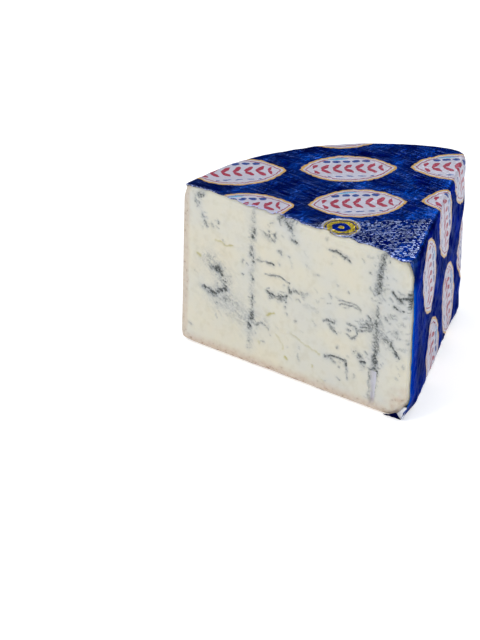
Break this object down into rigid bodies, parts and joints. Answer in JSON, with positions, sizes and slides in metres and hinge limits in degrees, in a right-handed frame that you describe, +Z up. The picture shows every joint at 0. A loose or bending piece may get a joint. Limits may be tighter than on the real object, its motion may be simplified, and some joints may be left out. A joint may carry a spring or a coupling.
{
  "type": "gorgonzola wedge",
  "caption": "Wedge of blue cheese standing on its rind, wrapped in printed blue foil on every side but the fresh cut.",
  "frame": {"origin": "middle of the bounding box at the base the wedge stands on", "axes": "+Z up, the fresh cut faces -Y, the point of the wedge is at the +X end of the cut"},
  "size_m": [0.1444, 0.1236, 0.091],
  "materials": {
    "cheese_paste": "moist ivory cheese paste with blue-green mould veins and a thin buff rind",
    "printed_foil": "crinkled deep blue lacquered foil with pale gold-rimmed ovals, white liner inside"
  },
  "bodies": {
    "root": {"cheese": "cheese_paste", "foil_wrap": "printed_foil"}
  },
  "joints": []
}
